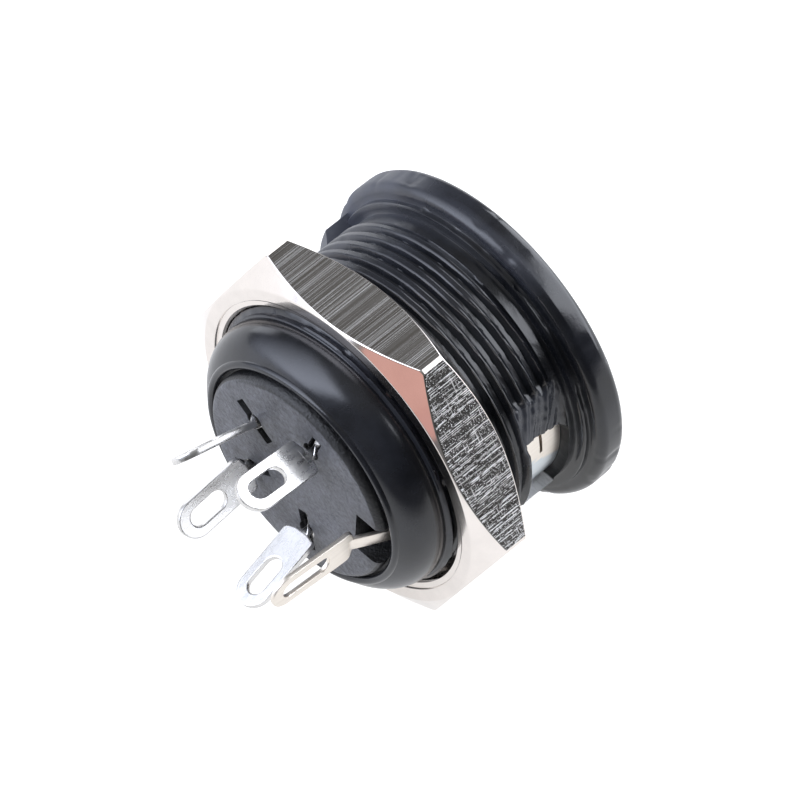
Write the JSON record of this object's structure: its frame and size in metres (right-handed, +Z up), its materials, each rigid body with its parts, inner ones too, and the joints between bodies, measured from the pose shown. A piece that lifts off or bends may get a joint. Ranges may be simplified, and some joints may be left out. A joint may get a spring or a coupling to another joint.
{
  "type": "din socket",
  "caption": "Panel-mount round power socket: threaded plastic barrel with a flange, keyed contact insert, latch window, solder lugs at the rear and a hexagonal clamp nut.",
  "frame": {"origin": "centre of the flange's rear face, where the panel seats, on the barrel's axis", "axes": "+Y along the barrel's axis towards the solder lugs, -Y towards the plug, +Z up when the socket lies on a flat of its nut"},
  "size_m": [0.0254, 0.0231, 0.022],
  "materials": {
    "barrel_plastic": "glossy moulded",
    "insert_plastic": "matte moulded",
    "tinned_brass": "bright tin plate",
    "plated_shield": "bright nickel plate",
    "nickel_plate": "nickel plate over milled flats"
  },
  "bodies": {
    "socket": {"housing": "barrel_plastic", "insulator": "insert_plastic", "contact_1": "tinned_brass", "contact_2": "tinned_brass", "contact_3": "tinned_brass", "contact_4": "tinned_brass", "shield": "plated_shield"},
    "nut": {"hex_nut": "nickel_plate"}
  },
  "joints": [
    {"name": "nut_thread", "type": "slide", "parent": "socket", "child": "nut", "axis": [0, -1, 0], "range_m": [0, 0.0037]}
  ]
}
